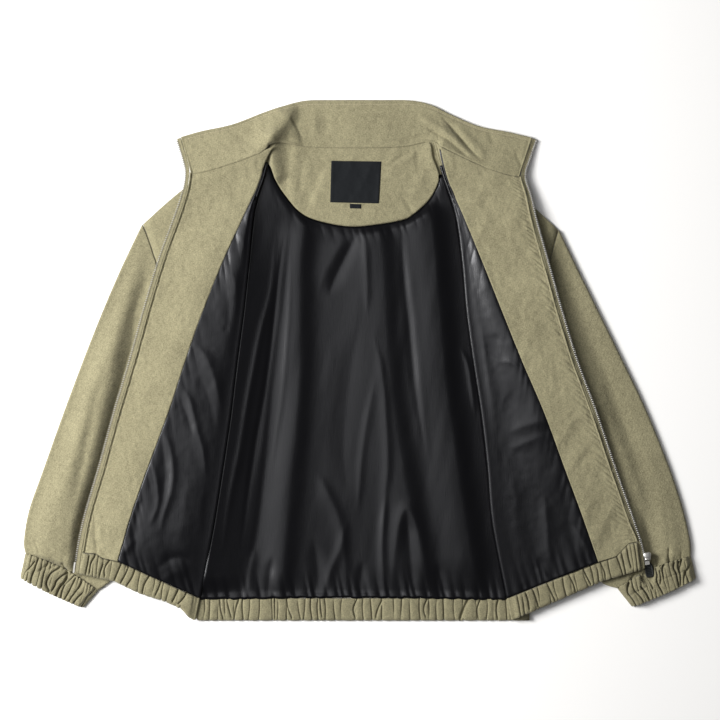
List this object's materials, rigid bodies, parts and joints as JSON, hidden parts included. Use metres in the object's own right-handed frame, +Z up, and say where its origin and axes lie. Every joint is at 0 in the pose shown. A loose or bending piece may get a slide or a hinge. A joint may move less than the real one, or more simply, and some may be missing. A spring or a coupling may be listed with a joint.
{
  "type": "zip-front blouson jacket laid open",
  "caption": "Cotton blouson field jacket laid open on its back, with stand collar, black lining, elastic hem and cuffs, and a metal zip.",
  "frame": {"origin": "under the middle of the jacket, on the surface that it lies on", "axes": "+X to the wearer's left, from cuff to cuff; +Y up the back to the collar; +Z up, out of the open front"},
  "size_m": [0.9112, 0.7016, 0.0161],
  "materials": {
    "shell": "slubby khaki cotton twill",
    "facing": "khaki cotton twill",
    "lining": "black satin lining with a soft sheen",
    "ribbed_edge": "khaki twill gathered on elastic",
    "label": "plain black woven label",
    "zip_tape": "khaki woven zip tape",
    "zip_metal": "satin nickel teeth",
    "slider_metal": "polished nickel",
    "pull": "matt black moulded pull"
  },
  "bodies": {
    "jacket": {"back_shell": "shell", "back_lining": "lining", "neck_facing": "facing", "label": "label", "size_tab": "label", "collar_outer": "shell", "collar_inner": "facing", "front_shell_right": "shell", "front_shell_left": "shell", "front_facing_right": "facing", "front_facing_left": "facing", "front_lining_right": "lining", "front_lining_left": "lining", "sleeve_right": "shell", "sleeve_left": "shell", "cuff_right": "ribbed_edge", "cuff_left": "ribbed_edge", "hem_band_back": "ribbed_edge", "hem_band_right": "ribbed_edge", "hem_band_left": "ribbed_edge", "zip_tape_right": "zip_tape", "zip_tape_left": "zip_tape", "zip_teeth_right": "zip_metal", "zip_teeth_left": "zip_metal", "zip_pin": "zip_metal", "zip_box": "slider_metal", "zip_slider": "slider_metal"},
    "zip_pull": {"zip_pull_link": "slider_metal", "zip_pull_tab": "pull"}
  },
  "joints": [
    {"name": "pull_hinge", "type": "hinge", "parent": "jacket", "child": "zip_pull", "pos_m": [0.38907, -0.26291, 0.00938], "axis": [-0.985, -0.1727, 0], "range_deg": [0, 7]}
  ]
}
